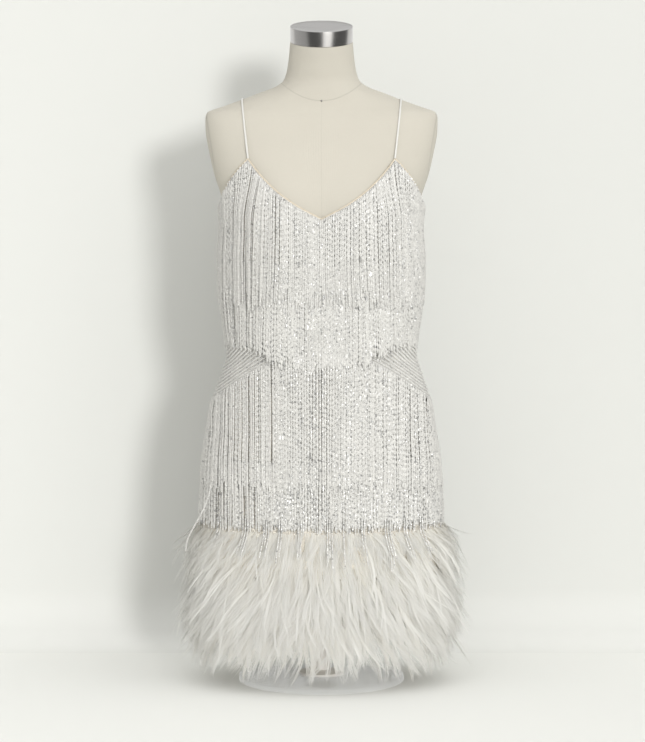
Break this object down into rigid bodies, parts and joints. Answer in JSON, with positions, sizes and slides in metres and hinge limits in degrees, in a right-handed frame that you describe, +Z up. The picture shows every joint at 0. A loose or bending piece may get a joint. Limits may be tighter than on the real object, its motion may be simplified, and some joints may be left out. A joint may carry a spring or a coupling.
{
  "type": "flapper dress on a dress form",
  "caption": "Sleeveless V-neck flapper mini dress with bead-fringe tiers and an ostrich-feather hem, worn on a limbless linen dress form with a steel neck cap and a round base.",
  "frame": {"origin": "middle of the base plate's underside, on the surface that the dress form stands on", "axes": "+Z up, the front of the dress faces -Y, +X towards the wearer's left side"},
  "size_m": [0.432, 0.3199, 0.9949],
  "materials": {
    "form_linen": "matte woven linen cover",
    "neck_steel": "brushed",
    "post_steel": "brushed",
    "base_glass": "clear and polished",
    "beaded_net": "satin net with small beads",
    "strap_satin": "satin",
    "bead_fringe": "bright glass and silver beads",
    "ostrich_feather": "soft matte down"
  },
  "bodies": {
    "root": {"form_torso": "form_linen", "form_neck_cap": "neck_steel", "form_post": "post_steel", "form_base": "base_glass", "dress_front": "beaded_net", "dress_back": "beaded_net", "strap_left": "strap_satin", "strap_right": "strap_satin", "fringe_1": "bead_fringe", "fringe_2": "bead_fringe", "fringe_3": "bead_fringe", "fringe_4": "bead_fringe", "feather_trim_upper": "ostrich_feather", "feather_trim_lower": "ostrich_feather"}
  },
  "joints": []
}
